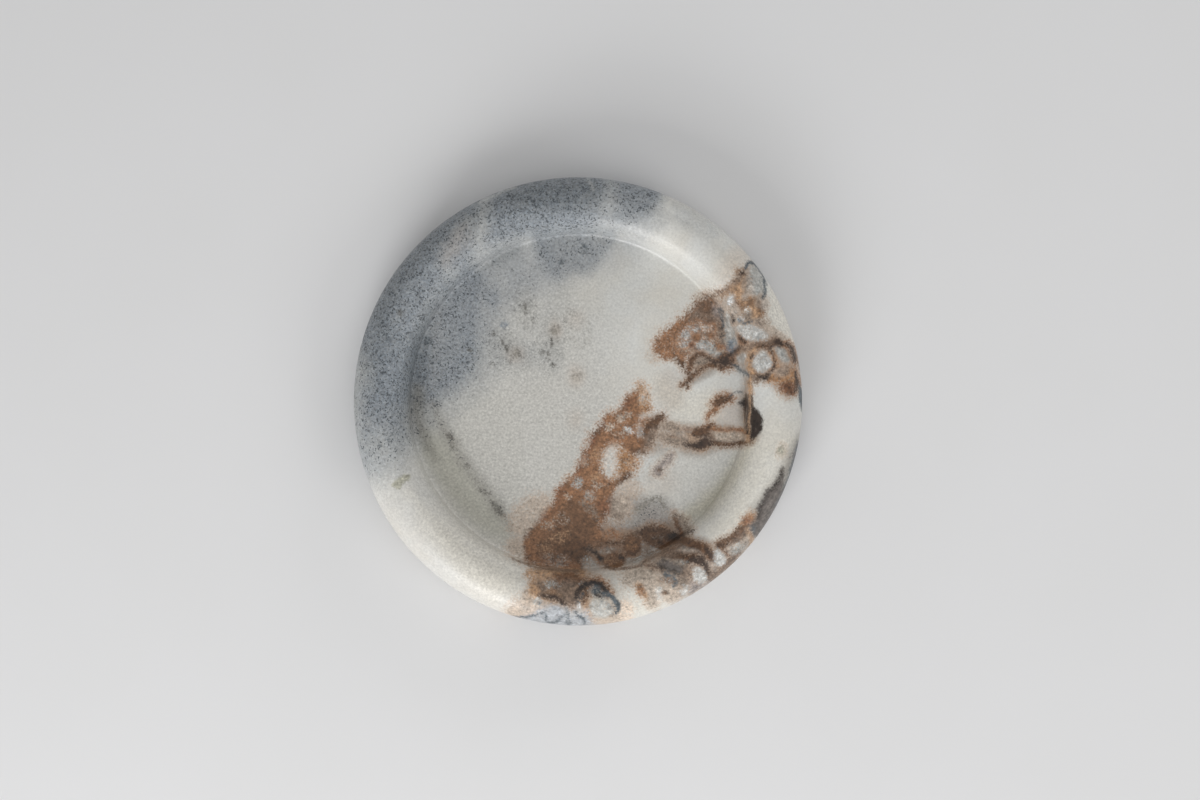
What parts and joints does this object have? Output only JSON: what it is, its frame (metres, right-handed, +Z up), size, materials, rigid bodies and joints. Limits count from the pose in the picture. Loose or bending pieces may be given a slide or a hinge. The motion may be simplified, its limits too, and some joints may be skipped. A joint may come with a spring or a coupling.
{
  "type": "stone tray",
  "caption": "Round turned stone tray with a thick full-round rim and a flat-floored dish, standing on small felt pads.",
  "frame": {"origin": "on the surface the tray stands on, under the middle of the tray", "axes": "+Z up along the axis that the stone was turned on; +X and +Y lie level, with the pads at 45 degrees between them"},
  "size_m": [0.2, 0.2, 0.0273],
  "materials": {
    "marble": "honed",
    "felt": "pressed wool felt"
  },
  "bodies": {
    "root": {"stone_tray": "marble", "felt_pad_1": "felt", "felt_pad_2": "felt", "felt_pad_3": "felt", "felt_pad_4": "felt"}
  },
  "joints": []
}
